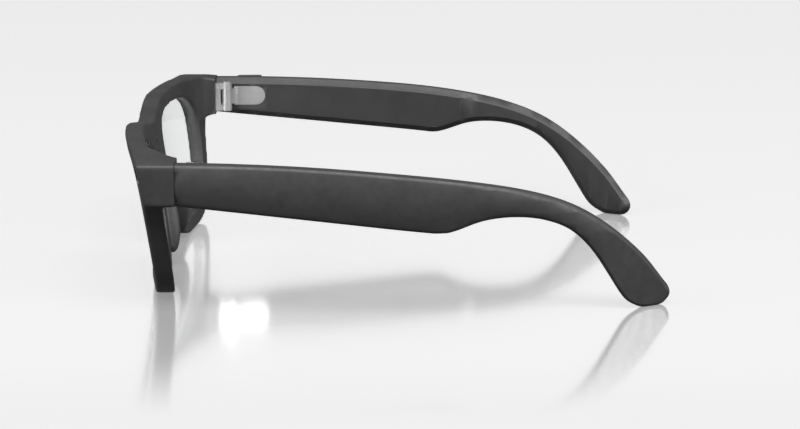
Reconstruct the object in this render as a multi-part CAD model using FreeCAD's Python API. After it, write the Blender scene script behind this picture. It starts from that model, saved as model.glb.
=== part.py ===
import FreeCAD, Part
import math
import os
from FreeCAD import Vector

# Smart glasses: a plastic front with two lenses, and two hollow side arms
# (temples) that fold on metal hinges. A camera looks out of the front's left
# end and a light out of its right end. The left temple holds the battery and
# the power slider, the right temple the main board and the capture button.
#
# Lengths are in millimetres. +X is the wearer's left, +Y runs back along the
# temples and +Z is up. The glasses stand on the lower rims and temple tips at
# z = 0, and the origin is the centre of their footprint. Shapes are drawn with
# y measured from the seam between front and temple, and moved when exported.
# Left-hand pieces are drawn, and right-hand ones are their mirror image.

os.makedirs("parts", exist_ok=True)

# ---------------------------------------------------------------- sizes
# Lenses and rims, seen from the front
LENS_W = 50.0            # boxed lens width
LENS_H = 40.5            # boxed lens height
BRIDGE_W = 22.0          # between the two lenses
LENS_T = 2.0             # lens thickness
LENS_SQUARENESS = 3.0    # exponent of the lens outline: 2 is an ellipse
LENS_TAPER = 0.18        # how much wider the lens is at its top
GROOVE = 0.8             # depth of the lens's seat in the rim
LENS_FIT = 0.05          # play between lens and seat
LENS_BACK = 2.0          # lens behind the front surface
RIM_W = 4.7              # rim seen from the front
BROW_H = 5.0             # rim above the lens
END_W = 13.8             # from the lens opening to the outer side

# The front as a curved, leaning plate
FRONT_T = 5.6            # front to back
END_REACH = 10.65        # depth of the front's outer side, before the seam
LEAN = 9.2               # degrees, the brow leans forward
WRAP_START = 15.0        # the front is flat this far from the middle
WRAP_R = 157.0           # then bends back on this radius
WRAP_SLOPE = 0.21        # and runs out straight on this slope

# Ends of the front, where the temples meet it
SEAM_H = 12.1            # height of the joint face
SEAM_DROP = 2.4          # its top below the brow
END_SIDE = 0.5           # the end block reaches this far inward of the hinge
END_SWEEP = 9.0          # and sweeps into the rim over this width
END_STEP = 1.3           # its top rises this much within END_RISE of the side
END_RISE = 5.0
COVE_R = 4.4             # hollow under the end block
COVE_LIP = 0.6           # flat lip between the cove and the seam
SEAM_GAP = 0.2           # slit between front and temple
BRIDGE_DIP = 3.9         # the bridge's top below the brow
NOSE_TOP = 31.6          # underside of the bridge

# Nose pads, moulded into the front
PAD_W = 3.4
PAD_D = 2.8              # stands this far behind the rim
PAD_H = 22.0
PAD_CROWN_UP = 1.0       # its crown above its middle
PAD_LEAN = -16.0         # degrees, the pads spread downward
PAD_DROP = 8.5           # middle below the lens centre
PAD_OUT = 0.3            # middle outward of the lens's inner edge
PAD_SUNK = 1.2           # its flat side lies inside the rim

# Temples
STRAIGHT = 76.5          # seam to the step in the lower edge
TAIL = 65.0              # from there to the middle of the round tip
TIP_R = 3.7
TOP_DROP = 4.1           # the top edge falls this much over the straight
LOW_DROP = 7.8           # and the lower edge this much
TEMPLE_T = 6.6           # thickness
SPLAY = 0.038            # outward slope, as a fraction
CURVE_BEFORE = 16.5      # the temple curves inward from here, before the step in its lower edge
CURVE_OUT_R = 164.0      # outer face
CURVE_IN_R = 177.0       # inner face, flatter, so that the tail gets thinner
INNER_BEVEL = 2.0        # bevel along the top of the inner face
WALL = 1.3               # outer wall of the hollow part
EDGE_WALL = 2.3          # top and bottom walls
COVER_T = 1.2            # inner cover
COVER_FIT = 0.05
LEDGE = 0.8              # what the cover rests on
COVER_START = 18.0
HINGE_WALL = 2.0         # inner wall behind the hinge plate
CAVITY_START = 7.0
CAVITY_PAST = 8.5        # the hollow ends this far behind the step in the lower edge

# Electronics in the temples
BATTERY_L = 27.0
BATTERY_H = 8.4
BATTERY_AT = 32.0
BATTERY_PLAY = 0.4       # to the outer wall and to the cover
SPEAKER_L = 15.0
SPEAKER_H = 9.0
SPEAKER_BEHIND = 1.2     # room between it and the outer wall
SPEAKER_DOME = 0.8       # its membrane stands this far past its frame
SPEAKER_BEZEL = 1.5      # frame round the membrane
SPEAKER_BACK = 7.5       # its middle before the step in the lower edge
SPEAKER_PLAY = 0.3       # to the cover
SPEAKER_SLOTS = 3
SLOT_L = 3.2
SLOT_W = 1.0
SLOT_PITCH = 4.4
MIC_AT = 14.0
MIC_BODY_L = 3.8
MIC_SIDE = 0.25          # to the sides of the hollow
MIC_BODY_H = 1.1
MIC_HOLE_R = 0.4
MIC_PLAY = 0.05          # to the lower wall
BOARD_L = 38.0
BOARD_T = 0.8
BOARD_H = 8.4
BOARD_AT = 21.0
BOARD_BACK = 2.0         # its face behind the cover's inner side
CAN_PLAY = 0.4           # between the shields and the touch sensor
CAN_WALL = 0.2
CAN_INSET = 0.8          # shields inset from the board's long edges
PROCESSOR_AT = 3.0       # shields, along the board
PROCESSOR_L = 15.0
RADIO_AT = 21.0
RADIO_L = 12.0
TOUCH_T = 0.2
TOUCH_INSET = 0.2

# Hinges
PIVOT_BACK = 4.0         # pivot behind the seam
KNUCKLE_R = 1.75
KNUCKLE_SIDE = 0.15      # knuckle clear of the temple's inner face
PIN_R = 0.7
PIN_FIT = 0.05           # running clearance of the moving knuckle
SCREW_HEAD_R = 1.25
SCREW_HEAD_H = 0.5
HINGE_H = 9.6            # overall height of the hinge
MID_KNUCKLE_H = 5.2
KNUCKLE_GAP = 0.08
LEAF_IN = 1.2            # front leaf inward of the pivot
LEAF_OUT = 1.3           # and outward of it
LEAF_SUNK = 3.0          # sunk into the front's end
LEAF_BACK = 1.9          # its block ends here, behind the seam
LEAF_T = 0.8             # temple leaf
LEAF_H = 6.6
LEAF_START = 6.2
LEAF_END = 17.0          # its round end, behind the seam
LEAF_PROUD = 0.12

# Ribbon cable along the brow
FLEX_DROP = 2.4          # below the brow's top
FLEX_SLOT = 1.0
FLEX_T = 0.3
FLEX_W = 1.8
FLEX_BACK = 2.1          # behind the front surface
FLEX_PLAY = 0.1          # between the ribbon and its slot, front and back
WIRE_SIDE = 0.8          # wire channel outward of the hinge leaf
WIRE_WALL = 2.4          # and inward of the outer side
WIRE_H = 1.4

# Microphone port and charging contacts on the back of the bridge
MIC_X = 3.4
MIC_Z = 38.6
MIC_L = 3.4
MIC_H = 1.0
CONTACT_X = 4.0
CONTACT_Z = 35.2
CONTACT_L = 2.4
CONTACT_H = 1.5
PORT_DEPTH = 0.9

# Camera and light in the front's ends
EYE_IN = 7.6             # centre, inward of the outer side
EYE_Z_DROP = 7.4         # centre, below the brow
EYE_BORE_R = 4.2
EYE_DEPTH = 6.3
EYE_FIT = 0.05
TRIM_WALL = 0.9
TRIM_DEPTH = 1.6
WINDOW_T = 0.7
WINDOW_SET = 0.15        # window below the ring's face
WINDOW_LEDGE = 0.5       # step in the ring that the window rests on
EYE_STACK_GAP = 0.1      # between the ring and what lies under it
CAMERA_BOX_H = 2.6
CAMERA_BOX_SHARE = 0.68  # of the bore's radius
CAMERA_STEP = 0.6        # height of the barrel's thick part, as a share
CAMERA_DISH = 0.6        # depth of the conical dish round its lens
LIGHT_BOARD_T = 0.8
LIGHT_BOARD_PLAY = 0.3
LIGHT_CHIP_L = 2.2
LIGHT_CHIP_T = 0.9
LIGHT_GUIDE_SHARE = 0.55 # of the bore's radius

# Capture button on the right temple
BUTTON_AT = 11.7
BUTTON_L = 8.4
BUTTON_PROUD = 0.45
BUTTON_FIT = 0.12
BUTTON_TRAVEL = 0.3
BUTTON_FLANGE = 0.4
BUTTON_FLANGE_T = 0.65
BUTTON_LIFT = 0.15       # between the flange and the wall above it
BUTTON_SIDE = 0.15       # between the flange and the hollow's sides
TACTILE_L = 4.4
TACTILE_SIDE = 0.35      # to the sides of the hollow
TACTILE_H = 1.7
TACTILE_TIP_R = 0.9
TACTILE_TIP_H = 0.7
TACTILE_PLAY = 0.05      # left under the button at the end of its travel

# Power slider on the left temple
SLIDER_AT = 25.0
SLIDER_L = 5.4
SLIDER_W = 2.6
SLIDER_H = 0.6
SLIDER_TRAVEL = 2.0
STEM_L = 3.0
STEM_W = 1.6
STEM_FIT = 0.12
SLIDER_RIBS = 3
RIB_PITCH = 1.0
RIB_W = 0.4
RIB_DEPTH = 0.2
SLIDER_ROUND = 0.5
SLIDER_LIFT = 0.06       # slider clear of the cover
SWITCH_BACK = 0.5        # switch body clear of the cover
SWITCH_PLAY = 1.0        # and of the outer wall
SWITCH_L = 9.0
SWITCH_H = 4.4

# ---------------------------------------------------------------- derived
LENS_X = BRIDGE_W / 2 + LENS_W / 2
OPENING_H = LENS_H - 2 * GROOVE
LENS_Z = RIM_W + OPENING_H / 2
TOP_Z = RIM_W + OPENING_H + BROW_H
HALF_W = BRIDGE_W / 2 + LENS_W - GROOVE + END_W
SEAM_TOP = TOP_Z - SEAM_DROP
SEAM_LOW = SEAM_TOP - SEAM_H
PIVOT_IN = TEMPLE_T + KNUCKLE_SIDE + KNUCKLE_R
SEAM_W = PIVOT_IN + LEAF_IN + END_SIDE
CAVITY_END = STRAIGHT + CAVITY_PAST
COVER_BACK = TEMPLE_T - COVER_T
BATTERY_T = COVER_BACK - WALL - 2 * BATTERY_PLAY
SPEAKER_AT = STRAIGHT - SPEAKER_BACK
SPEAKER_T = COVER_BACK - WALL - SPEAKER_PLAY - SPEAKER_BEHIND
SPEAKER_FRAME_T = SPEAKER_T - SPEAKER_DOME
SPEAKER_DEPTH = COVER_BACK - SPEAKER_PLAY - SPEAKER_T
BOARD_DEPTH = COVER_BACK - BOARD_BACK
CAN_T = BOARD_DEPTH - WALL - TOUCH_T - CAN_PLAY
SWITCH_TOP = COVER_BACK - SWITCH_BACK
SWITCH_T = SWITCH_TOP - WALL - SWITCH_PLAY
HOLLOW_T = TEMPLE_T - HINGE_WALL - WALL
HOLLOW_MID = WALL + HOLLOW_T / 2
BUTTON_W = HOLLOW_T - 2 * (BUTTON_FLANGE + BUTTON_SIDE)
TACTILE_W = HOLLOW_T - 2 * TACTILE_SIDE
MIC_BODY_W = HOLLOW_T - 2 * MIC_SIDE
SEAM_MID = (SEAM_TOP + SEAM_LOW) / 2
LEAN_RATIO = math.tan(math.radians(LEAN))
WRAP_BEND = WRAP_R * math.sin(math.atan(WRAP_SLOPE))
WRAP_SAG = WRAP_R - math.sqrt(WRAP_R ** 2 - WRAP_BEND ** 2)
FRONT_REACH = END_REACH + WRAP_SAG + (HALF_W - WRAP_START - WRAP_BEND) * WRAP_SLOPE
CURVE_START = STRAIGHT - CURVE_BEFORE
REACH = STRAIGHT + TAIL + TIP_R
FRONT_MOST = -FRONT_REACH - LEAN_RATIO * (TOP_Z - SEAM_TOP)
SEAM_Y = -(REACH + FRONT_MOST) / 2
PIVOT_X = HALF_W - PIVOT_IN
FAR = 100.0              # reach of construction solids


# ---------------------------------------------------------------- helpers
def mirrored(shape):
    return shape.mirror(Vector(0, 0, 0), Vector(1, 0, 0))


def export(name, *solids):
    shape = solids[0] if len(solids) == 1 else Part.makeCompound(list(solids))
    shape = shape.copy()
    shape.translate(Vector(0, SEAM_Y, 0))
    shape.exportStep("parts/" + name + ".step")
    box = shape.BoundBox
    print("%-26s %d solid, valid %s, %9.2f mm3, x %.1f..%.1f y %.1f..%.1f z %.1f..%.1f" % (
        name, len(shape.Solids), shape.isValid(), shape.Volume,
        box.XMin, box.XMax, box.YMin, box.YMax, box.ZMin, box.ZMax))


def box(x0, x1, y0, y1, z0, z1):
    return Part.makeBox(x1 - x0, y1 - y0, z1 - z0, Vector(x0, y0, z0))


def spline(points, start=None, end=None):
    curve = Part.BSplineCurve()
    if start is None:
        curve.interpolate(Points=points)
    else:
        curve.interpolate(Points=points, InitialTangent=start, FinalTangent=end)
    return curve.toShape()


def line(a, b):
    return Part.LineSegment(a, b).toShape()


def arc(a, b, c):
    return Part.Arc(a, b, c).toShape()


def prism(edges, direction):
    return Part.Face(Part.Wire(edges)).extrude(direction)


def stadium(length, width, height):
    """Upright rounded bar along X, centred on the origin, from z = 0 up."""
    straight = (length - width) / 2
    bar = box(-straight, straight, -width / 2, width / 2, 0, height)
    ends = [Part.makeCylinder(width / 2, height, Vector(x, 0, 0)) for x in (-straight, straight)]
    return bar.multiFuse(ends).removeSplitter()


# ---------------------------------------------------------------- front
def front_y(x):
    """Front surface in plan, at the height of the brow."""
    out = max(0.0, abs(x) - WRAP_START)
    curved = min(out, WRAP_BEND)
    sag = WRAP_R - math.sqrt(WRAP_R ** 2 - curved ** 2)
    return -FRONT_REACH + sag + (out - curved) * WRAP_SLOPE


def lean_y(z):
    """How far back the leaning front has moved at height z."""
    return LEAN_RATIO * (SEAM_TOP - z)


def plan_edge(offset, z):
    """Front surface in plan, moved back by offset, at height z."""
    limit = HALF_W + 8.0
    stations = [limit * k / 6 for k in range(-6, 7)]
    return spline([Vector(x, front_y(x) + offset + lean_y(z), z) for x in stations])


def front_slab(near, far):
    """Everything between two offsets behind the front surface."""
    low = -10.0
    high = TOP_Z + 20.0
    front = plan_edge(near, low)
    back = plan_edge(far, low)
    ends = [line(front.Vertexes[i].Point, back.Vertexes[i].Point) for i in (0, 1)]
    rise = high - low
    return prism([front, ends[1], back, ends[0]], Vector(0, -LEAN_RATIO * rise, rise))


def lens_point(angle, grow):
    """Point of the lens outline at an angle, moved outward by grow."""
    def raw(turn):
        c = math.cos(turn)
        s = math.sin(turn)
        power = 2 / LENS_SQUARENESS
        up = math.copysign(abs(s) ** power, s)
        across = math.copysign(abs(c) ** power, c) * (1 + LENS_TAPER * up)
        widest = 1 + LENS_TAPER * 0.27
        return (across * LENS_W / 2 / widest, up * LENS_H / 2)
    turn = math.radians(angle)
    step = 0.02
    ahead = raw(turn + step)
    behind = raw(turn - step)
    here = raw(turn)
    run = (ahead[0] - behind[0], ahead[1] - behind[1])
    size = math.hypot(*run)
    return Vector(LENS_X + here[0] + grow * run[1] / size, 0, LENS_Z + here[1] - grow * run[0] / size)


def lens_prism(grow):
    """The lens outline, grown, as a long bar along Y."""
    curve = Part.BSplineCurve()
    points = [lens_point(360 * k / 24 + 7.5, grow) - Vector(0, FAR / 2, 0) for k in range(24)]
    curve.interpolate(Points=points, PeriodicFlag=True)
    return prism([curve.toShape()], Vector(0, FAR, 0))


def both_ways(points):
    """Half an outline on +X, ending at x = 0, completed with its mirror image."""
    return points + [Vector(-p.x, p.y, p.z) for p in reversed(points[:-1])]


def top_points(drop):
    """Upper outline of the front, lowered by drop."""
    return both_ways([Vector(x, -FAR / 2, z - drop) for x, z in (
        (HALF_W, SEAM_TOP),
        (HALF_W - END_RISE, SEAM_TOP + END_STEP),
        (LENS_X + LENS_W * 0.4, TOP_Z - 0.4),
        (LENS_X, TOP_Z),
        (LENS_X - LENS_W * 0.3, TOP_Z - 0.5),
        (BRIDGE_W * 0.36, TOP_Z - BRIDGE_DIP * 0.72),
        (0, TOP_Z - BRIDGE_DIP))])


def low_points():
    """Lower outline: under the end, round the rim and up to the bridge."""
    rim = [lens_point(a, RIM_W - GROOVE) for a in (-12, -30, -48, -66, -90, -114, -132, -150)]
    rim = [Vector(p.x, -FAR / 2, p.z) for p in rim]
    end = [(HALF_W, SEAM_LOW), (HALF_W - 3.4, SEAM_LOW - 0.9), (HALF_W - 6.4, SEAM_LOW - 4.6)]
    bridge = [(BRIDGE_W * 0.36, NOSE_TOP - 6.2), (BRIDGE_W * 0.2, NOSE_TOP - 1.4), (0, NOSE_TOP)]
    ends = [Vector(x, -FAR / 2, z) for x, z in end]
    return both_ways(ends + rim + [Vector(x, -FAR / 2, z) for x, z in bridge])


def outline_prism():
    top = spline(top_points(0))
    low = spline(low_points())
    sides = [line(top.Vertexes[i].Point, low.Vertexes[i].Point) for i in (0, 1)]
    return prism([top, sides[1], low, sides[0]], Vector(0, FAR, 0))


def end_block():
    """The deep end of the front, back to the seam, with a cove under it."""
    inner = HALF_W - SEAM_W
    meet = inner - END_SWEEP
    outside = HALF_W + 5
    into_rim = front_y(meet) + FRONT_T * 0.9
    plan = [Vector(outside, 0, 0), Vector(inner, 0, 0), Vector(inner - END_SWEEP * 0.04, into_rim * 0.29, 0),
            Vector(inner - END_SWEEP * 0.33, into_rim * 0.57, 0), Vector(meet, into_rim, 0),
            Vector(meet, -FAR / 2, 0), Vector(outside, -FAR / 2, 0)]
    sweep = spline(plan[1:5])
    edges = [line(plan[0], plan[1]), sweep, line(plan[4], plan[5])]
    edges += [line(plan[5], plan[6]), line(plan[6], plan[0])]
    block = prism(edges, Vector(0, 0, FAR))
    under = SEAM_LOW - COVE_R
    side = [Vector(0, 0, FAR), Vector(0, 0, SEAM_LOW), Vector(0, -COVE_LIP, SEAM_LOW),
            Vector(0, -COVE_LIP - COVE_R, under), Vector(0, -FAR / 2, under), Vector(0, -FAR / 2, FAR)]
    half_way = math.sqrt(0.5)
    bend = arc(side[2], Vector(0, -COVE_LIP - COVE_R * half_way, SEAM_LOW - COVE_R * (1 - half_way)), side[3])
    edges = [line(side[0], side[1]), line(side[1], side[2]), bend, line(side[3], side[4]),
             line(side[4], side[5]), line(side[5], side[0])]
    return block.common(prism(edges, Vector(FAR, 0, 0)))


def front_blank():
    end = end_block()
    body = front_slab(-3, FRONT_T).multiFuse([end, mirrored(end)])
    return body.common(front_slab(0, FAR / 2)).common(outline_prism())


def nose_pad():
    """Half-moon that swells from the back of the rim beside the nose."""
    half = PAD_H / 2
    low = Vector(-PAD_W / 2, -PAD_SUNK, -half)
    high = Vector(-PAD_W / 2, -PAD_SUNK, half)
    crown = Vector(-PAD_W / 2, PAD_D, PAD_CROWN_UP)
    pad = prism([arc(low, crown, high), line(high, low)], Vector(PAD_W, 0, 0))
    pad.rotate(Vector(0, 0, 0), Vector(1, 0, 0), LEAN)
    pad.rotate(Vector(0, 0, 0), Vector(0, 1, 0), PAD_LEAN)
    z = LENS_Z - PAD_DROP
    x = BRIDGE_W / 2 + PAD_OUT
    pad.translate(Vector(x, front_y(x) + lean_y(z) + FRONT_T, z))
    return pad


def eye_place(shape):
    """Put a shape drawn along +Z, with z = 0 the surface, into the left end."""
    x = HALF_W - EYE_IN
    z = TOP_Z - EYE_Z_DROP
    forward = Vector(WRAP_SLOPE, -1, -LEAN_RATIO)
    shape = shape.copy()
    turn = FreeCAD.Rotation(Vector(0, 0, 1), forward)
    shape.Placement = FreeCAD.Placement(Vector(x, front_y(x) + lean_y(z), z), turn).multiply(shape.Placement)
    return shape


def brow_band(drop, height, reach, back, width):
    """Thin band that follows the brow over the lenses and through the bridge."""
    top = spline(top_points(drop))
    low = spline(top_points(drop + height))
    sides = [line(top.Vertexes[i].Point, low.Vertexes[i].Point) for i in (0, 1)]
    band = prism([top, sides[1], low, sides[0]], Vector(0, FAR, 0))
    band = band.common(box(-reach, reach, -FAR / 2, FAR / 2, 0, FAR))
    return band.common(front_slab(back, back + width))


def hinge_front_leaf():
    """Block sunk in the front's end, with two arms that carry the pin."""
    half = HINGE_H / 2
    bottom = SEAM_MID - half
    block = box(PIVOT_X - LEAF_IN, PIVOT_X + LEAF_OUT, -LEAF_SUNK, LEAF_BACK, bottom, bottom + HINGE_H)
    inner = MID_KNUCKLE_H / 2 + KNUCKLE_GAP
    pieces = []
    for low in (bottom, SEAM_MID + inner):
        arm = box(PIVOT_X - LEAF_IN, PIVOT_X + LEAF_IN, LEAF_BACK - 0.5, PIVOT_BACK, low, low + half - inner)
        pieces += [arm, Part.makeCylinder(KNUCKLE_R, half - inner, Vector(PIVOT_X, PIVOT_BACK, low))]
    leaf = block.multiFuse(pieces).removeSplitter()
    return leaf.cut(Part.makeCylinder(PIN_R, HINGE_H, Vector(PIVOT_X, PIVOT_BACK, bottom)))


def hinge_screw():
    half = HINGE_H / 2
    shaft = Part.makeCylinder(PIN_R, HINGE_H, Vector(PIVOT_X, PIVOT_BACK, SEAM_MID - half))
    head = Part.makeCylinder(SCREW_HEAD_R, SCREW_HEAD_H, Vector(PIVOT_X, PIVOT_BACK, SEAM_MID + half))
    slot = box(PIVOT_X - SCREW_HEAD_R, PIVOT_X + SCREW_HEAD_R, PIVOT_BACK - 0.15, PIVOT_BACK + 0.15,
               SEAM_MID + half + SCREW_HEAD_H * 0.4, SEAM_MID + half + SCREW_HEAD_H * 2)
    return shaft.fuse(head).removeSplitter().cut(slot)


def hinge_temple_leaf():
    """Middle knuckle, and a round-ended plate let into the temple's inner face."""
    half = MID_KNUCKLE_H / 2
    knuckle = Part.makeCylinder(KNUCKLE_R, MID_KNUCKLE_H, Vector(PIVOT_X, PIVOT_BACK, SEAM_MID - half))
    plate_x = TEMPLE_T + LEAF_PROUD - LEAF_T
    end = LEAF_H / 2
    plate = box(plate_x, plate_x + LEAF_T, LEAF_START, LEAF_END - end, -end, end)
    plate = plate.fuse(Part.makeCylinder(end, LEAF_T, Vector(plate_x, LEAF_END - end, 0), Vector(1, 0, 0)))
    plate = level_in_temple(plate.removeSplitter())
    inner = PIVOT_X + KNUCKLE_R / 3
    outer = HALF_W - TEMPLE_T + LEAF_T * 0.75
    web = box(inner, outer, PIVOT_BACK, LEAF_START + 1.5, SEAM_MID - half, SEAM_MID + half)
    leaf = knuckle.multiFuse([web, plate]).removeSplitter()
    bore = Part.makeCylinder(PIN_R + PIN_FIT, HINGE_H, Vector(PIVOT_X, PIVOT_BACK, SEAM_MID - HINGE_H / 2))
    return leaf.cut(bore)


def bridge_port(x, z, length, height, depth):
    """Small rounded recess in the back of the bridge."""
    cutter = stadium(length, height, depth + 2)
    cutter.rotate(Vector(0, 0, 0), Vector(1, 0, 0), 90)
    cutter.translate(Vector(x, front_y(x) + lean_y(z) + FRONT_T + 2, z))
    return cutter


def wire_channel(start, finish):
    """Flat channel for the wires, through the end beside the hinge leaf."""
    inner = PIVOT_X + LEAF_OUT + WIRE_SIDE
    return box(inner, HALF_W - WIRE_WALL, start, finish, SEAM_MID - WIRE_H / 2, SEAM_MID + WIRE_H / 2)


def front_frame():
    frame = front_blank().multiFuse([nose_pad(), mirrored(nose_pad())])
    opening = lens_prism(-GROOVE)
    seat = lens_prism(LENS_FIT).common(front_slab(LENS_BACK - LENS_FIT, LENS_BACK + LENS_T + LENS_FIT))
    slot = wire_channel(-EYE_DEPTH, 1)
    bore = eye_place(Part.makeCylinder(EYE_BORE_R, EYE_DEPTH + 2, Vector(0, 0, -EYE_DEPTH)))
    cuts = [opening, seat, slot, bore, hinge_front_leaf(), hinge_screw()]
    cuts += [mirrored(c) for c in cuts]
    cuts.append(brow_band(FLEX_DROP, FLEX_SLOT, HALF_W - EYE_IN, FLEX_BACK, FLEX_W + 2 * FLEX_PLAY))
    cuts.append(bridge_port(MIC_X, MIC_Z, MIC_L, MIC_H, PORT_DEPTH))
    cuts.append(bridge_port(CONTACT_X, CONTACT_Z, CONTACT_L, CONTACT_H, PORT_DEPTH))
    for cutter in cuts:
        frame = frame.cut(cutter)
    return frame


def lens():
    return lens_prism(0).common(front_slab(LENS_BACK, LENS_BACK + LENS_T))


def brow_flex():
    """Flat ribbon that lies in the middle of its slot and ends at the bores."""
    middle = FLEX_DROP + (FLEX_SLOT - FLEX_T) / 2
    reach = HALF_W - EYE_IN - EYE_BORE_R - FLEX_PLAY
    return brow_band(middle, FLEX_T, reach, FLEX_BACK + FLEX_PLAY, FLEX_W)


def trim_ring():
    """Ring flush with the front, with a step that the window sits on."""
    outer = EYE_BORE_R - EYE_FIT
    ring = Part.makeCylinder(outer, TRIM_DEPTH, Vector(0, 0, -TRIM_DEPTH))
    inner = outer - TRIM_WALL
    seat = WINDOW_T + WINDOW_SET
    ring = ring.cut(Part.makeCylinder(inner - WINDOW_LEDGE, TRIM_DEPTH, Vector(0, 0, -TRIM_DEPTH)))
    ring = ring.cut(Part.makeCylinder(inner, seat, Vector(0, 0, -seat)))
    return eye_place(ring)


def window():
    radius = EYE_BORE_R - EYE_FIT - TRIM_WALL - EYE_FIT
    return eye_place(Part.makeCylinder(radius, WINDOW_T, Vector(0, 0, -WINDOW_T - WINDOW_SET)))


def camera_module():
    """Square image sensor housing with a round, stepped lens barrel."""
    half = EYE_BORE_R * CAMERA_BOX_SHARE
    housing = box(-half, half, -half, half, -EYE_DEPTH, -EYE_DEPTH + CAMERA_BOX_H)
    low = -EYE_DEPTH + CAMERA_BOX_H
    top = -TRIM_DEPTH - EYE_STACK_GAP
    barrel = Part.makeCylinder(half * 0.86, (top - low) * CAMERA_STEP, Vector(0, 0, low))
    nose = Part.makeCylinder(half * 0.7, top - low, Vector(0, 0, low))
    dish = Part.makeCone(half * 0.25, half * 0.55, CAMERA_DISH, Vector(0, 0, top - CAMERA_DISH))
    return eye_place(housing.multiFuse([barrel, nose]).cut(dish))


def light_board():
    """Round board with one light on it, under the right-hand window."""
    board = Part.makeCylinder(EYE_BORE_R - LIGHT_BOARD_PLAY, LIGHT_BOARD_T, Vector(0, 0, -EYE_DEPTH))
    half = LIGHT_CHIP_L / 2
    low = -EYE_DEPTH + LIGHT_BOARD_T
    light = box(-half, half, -half, half, low, low + LIGHT_CHIP_T)
    return eye_place(board.fuse(light))


def light_guide():
    """Clear rod that carries the light up to the window."""
    low = -EYE_DEPTH + LIGHT_BOARD_T + LIGHT_CHIP_T + EYE_STACK_GAP
    top = -TRIM_DEPTH - EYE_STACK_GAP
    rod = Part.makeCylinder(EYE_BORE_R * LIGHT_GUIDE_SHARE, top - low, Vector(0, 0, low))
    return eye_place(rod)


def port_plug(x, z, length, height, sunk, thick):
    """Flat rounded plate at the bottom of a recess in the bridge."""
    plate = stadium(length - 0.1, height - 0.1, thick)
    plate.rotate(Vector(0, 0, 0), Vector(1, 0, 0), 90)
    plate.translate(Vector(x, front_y(x) + lean_y(z) + FRONT_T - sunk + thick, z))
    return plate


# ---------------------------------------------------------------- temples
def top_z(y):
    return SEAM_TOP + 0.1 - TOP_DROP * (y / STRAIGHT) ** 2


def low_z(y):
    return SEAM_LOW - LOW_DROP * y / STRAIGHT


def temple_outline():
    """Side view of the whole temple, as a long bar along X."""
    x = HALF_W - 60
    tip = Vector(x, STRAIGHT + TAIL, TIP_R)

    def on_tip(degrees):
        turn = math.radians(degrees)
        return tip + Vector(0, TIP_R * math.cos(turn), TIP_R * math.sin(turn))

    straight_top = [Vector(x, STRAIGHT * k / 4, top_z(STRAIGHT * k / 4)) for k in range(5)]
    straight_top[0] = Vector(x, SEAM_GAP, top_z(0))
    tail_top = [Vector(x, STRAIGHT + back, top_z(STRAIGHT) * share)
                for back, share in ((12.0, 0.961), (23.5, 0.908), (39.5, 0.773),
                                    (50.5, 0.597), (56.1, 0.479), (62.5, 0.314))]
    top = spline(straight_top + tail_top + [on_tip(40)], Vector(0, 1, 0), Vector(0, 0.643, -0.766))
    tail_low = [Vector(x, STRAIGHT + back, low_z(STRAIGHT) * share)
                for back, share in ((2.6, 1.016), (11.5, 1.130), (19.5, 1.167), (28.5, 1.133),
                                    (37.0, 1.004), (43.7, 0.764), (49.5, 0.430),
                                    (52.8, 0.225), (55.6, 0.095), (59.0, 0.018))]
    low = spline(tail_low + [on_tip(-90)], Vector(0, 1, 0.25), Vector(0, 1, 0))
    before = STRAIGHT - 2.4
    corner = [Vector(x, before, low_z(before)), Vector(x, STRAIGHT + 0.3, low_z(STRAIGHT) + 0.08)]
    front_low = Vector(x, SEAM_GAP, low_z(0))
    edges = [top, arc(on_tip(40), on_tip(-25), on_tip(-90)), low, arc(corner[0], corner[1], tail_low[0]),
             line(corner[0], front_low), line(front_low, straight_top[0])]
    return prism(edges, Vector(100, 0, 0))


def temple_curve(depth):
    """Plan of the temple's outer face, moved inward by depth: line, then arc."""
    share = depth / TEMPLE_T
    radius = 1 / ((1 - share) / CURVE_OUT_R + share / CURVE_IN_R)
    start = Vector(HALF_W - depth - 5 * SPLAY, -5, 0)
    bend = Vector(HALF_W - depth + CURVE_START * SPLAY, CURVE_START, 0)
    inward = Vector(-1, SPLAY, 0).normalize()
    centre = bend + inward * radius
    first = math.atan2(SPLAY, 1) * -1
    sweep = (REACH + 15 - CURVE_START) / radius

    def on_bend(share):
        turn = first + sweep * share
        return centre + Vector(radius * math.cos(turn), radius * math.sin(turn), 0)

    return [line(start, bend), arc(bend, on_bend(0.5), on_bend(1))]


def temple_slab(near, far):
    """Everything between two depths below the temple's outer face."""
    outer = temple_curve(near)
    inner = temple_curve(far)
    begin = line(outer[0].Vertexes[0].Point, inner[0].Vertexes[0].Point)
    finish = line(outer[1].Vertexes[1].Point, inner[1].Vertexes[1].Point)
    slab = prism(outer + [finish, inner[1], inner[0], begin], Vector(0, 0, TOP_Z + 20))
    slab.translate(Vector(0, 0, -5))
    return slab


def band(start, finish, inset):
    """The straight part of the side view, inset from its top and bottom."""
    stations = [start + (finish - start) * k / 4 for k in range(5)]
    x = HALF_W - 60
    top = [Vector(x, y, top_z(y) - inset) for y in stations]
    low = [Vector(x, y, max(low_z(y), low_z(2 * STRAIGHT - y)) + inset) for y in stations]
    loop = top + low[::-1] + top[:1]
    return Part.Face(Part.makePolygon(loop)).extrude(Vector(100, 0, 0))


def level_in_temple(shape):
    """From (inward, along, up) about the seam's middle to the splayed temple."""
    shape = shape.mirror(Vector(0, 0, 0), Vector(1, 0, 0))
    shape.rotate(Vector(0, 0, 0), Vector(0, 0, 1), -math.degrees(math.atan(SPLAY)))
    shape.translate(Vector(HALF_W, 0, SEAM_MID))
    return shape


def in_temple(shape):
    """The same, but also sloping down with the temple's middle line."""
    shape = shape.copy()
    fall = (LOW_DROP + TOP_DROP) / 2 / STRAIGHT
    shape.rotate(Vector(0, 0, 0), Vector(1, 0, 0), -math.degrees(math.atan(fall)))
    return level_in_temple(shape)


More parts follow.
